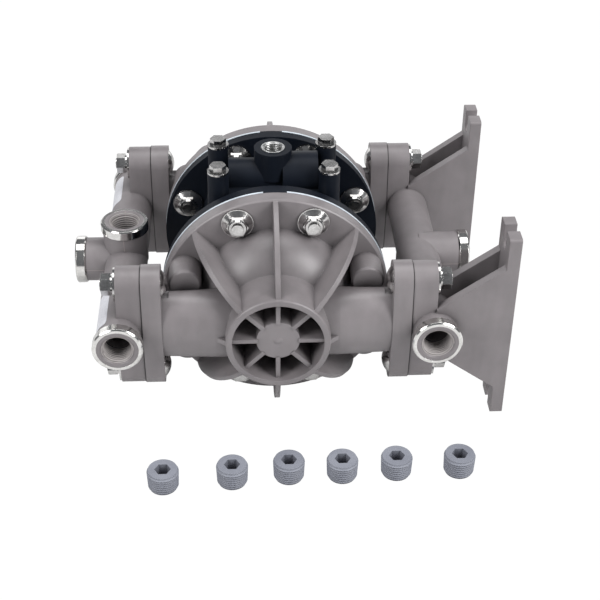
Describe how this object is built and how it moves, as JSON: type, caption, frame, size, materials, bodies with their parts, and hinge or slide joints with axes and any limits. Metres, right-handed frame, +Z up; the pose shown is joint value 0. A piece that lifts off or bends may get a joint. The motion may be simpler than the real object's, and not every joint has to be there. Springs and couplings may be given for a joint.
{
  "type": "air operated double diaphragm pump",
  "caption": "Air operated double diaphragm pump in grey and black plastic, lying on its back, with ball checks, threaded ports, slotted feet and loose blanking plugs.",
  "frame": {"origin": "under the middle of the pump, on the flat bottom of the exhaust cover that it rests on", "axes": "+X from the outlet manifold to the inlet manifold and its feet, +Y along the diaphragm shaft from the front cap to the rear cap, +Z up to the air inlet"},
  "size_m": [0.3035, 0.2759, 0.1765],
  "materials": {
    "grey_plastic": "satin moulded, filled polypropylene",
    "black_plastic": "fine moulded texture",
    "diaphragm_facing": "pale fluoropolymer facing on rubber",
    "polished_steel": "polished stainless steel",
    "stainless_steel": "bright stainless steel",
    "turned_steel": "turned",
    "turned_aluminium": "turned",
    "plug_plastic": "satin moulded",
    "white_plastic": "smooth fluoropolymer",
    "black_rubber": "matt",
    "bearing_plastic": "machined acetal",
    "sintered_bronze": "sintered, rough"
  },
  "bodies": {
    "pump_body": {"air_cap_front": "black_plastic", "air_cap_rear": "black_plastic", "air_cap_screws": "stainless_steel", "air_inlet_insert": "turned_aluminium", "blanking_plugs": "plug_plastic", "cap_blind_studs": "stainless_steel", "cap_nuts": "stainless_steel", "cap_through_bolts": "stainless_steel", "centre_housing": "black_plastic", "diaphragm_front": "diaphragm_facing", "diaphragm_rear": "diaphragm_facing", "exhaust_cover": "black_plastic", "exhaust_cover_screws": "stainless_steel", "exhaust_gasket": "black_rubber", "exhaust_muffler": "sintered_bronze", "fluid_cap_front": "grey_plastic", "fluid_cap_rear": "grey_plastic", "inlet_manifold": "grey_plastic", "inlet_port_rings": "polished_steel", "inlet_seat_rings": "black_rubber", "inlet_seats": "white_plastic", "joint_bolts": "stainless_steel", "joint_nuts": "stainless_steel", "joint_spring_washers": "stainless_steel", "joint_washers": "stainless_steel", "outlet_manifold": "grey_plastic", "outlet_port_rings": "polished_steel", "outlet_seat_rings": "black_rubber", "outlet_seats": "white_plastic", "pilot_bushings": "bearing_plastic", "shaft_bushings": "bearing_plastic", "shaft_seals": "black_rubber", "valve_block": "black_plastic", "valve_block_bolts": "stainless_steel", "valve_block_gasket": "black_rubber", "valve_end_plugs": "turned_aluminium", "valve_sleeve": "turned_steel"},
    "shaft_assembly": {"main_shaft": "turned_steel", "inner_plates": "turned_steel", "outer_plates": "plug_plastic", "plate_nuts": "turned_steel"},
    "pilot": {"pilot_rod": "turned_steel"},
    "spool": {"valve_spool": "turned_aluminium"},
    "outlet_ball_front_body": {"outlet_ball_front": "white_plastic"},
    "outlet_ball_rear_body": {"outlet_ball_rear": "white_plastic"},
    "inlet_ball_front_body": {"inlet_ball_front": "white_plastic"},
    "inlet_ball_rear_body": {"inlet_ball_rear": "white_plastic"}
  },
  "joints": [
    {"name": "shaft_slide", "type": "slide", "parent": "pump_body", "child": "shaft_assembly", "axis": [0, 1, 0], "range_m": [-0.006, 0.006], "deforming": ["diaphragm_front", "diaphragm_rear"]},
    {"name": "pilot_slide", "type": "slide", "parent": "pump_body", "child": "pilot", "axis": [0, 1, 0], "range_m": [-0.0015, 0.0015]},
    {"name": "spool_slide", "type": "slide", "parent": "pump_body", "child": "spool", "axis": [1, 0, 0], "range_m": [-0.005, 0.005]},
    {"name": "outlet_ball_front_lift", "type": "slide", "parent": "pump_body", "child": "outlet_ball_front_body", "axis": [-1, 0, 0], "range_m": [0, 0.005]},
    {"name": "outlet_ball_rear_lift", "type": "slide", "parent": "pump_body", "child": "outlet_ball_rear_body", "axis": [-1, 0, 0], "range_m": [0, 0.005]},
    {"name": "inlet_ball_front_lift", "type": "slide", "parent": "pump_body", "child": "inlet_ball_front_body", "axis": [-1, 0, 0], "range_m": [0, 0.005]},
    {"name": "inlet_ball_rear_lift", "type": "slide", "parent": "pump_body", "child": "inlet_ball_rear_body", "axis": [-1, 0, 0], "range_m": [0, 0.005]}
  ],
  "couplings": [
    {"joint": "pilot_slide", "follows": "shaft_slide", "ratio": 0.25}
  ]
}
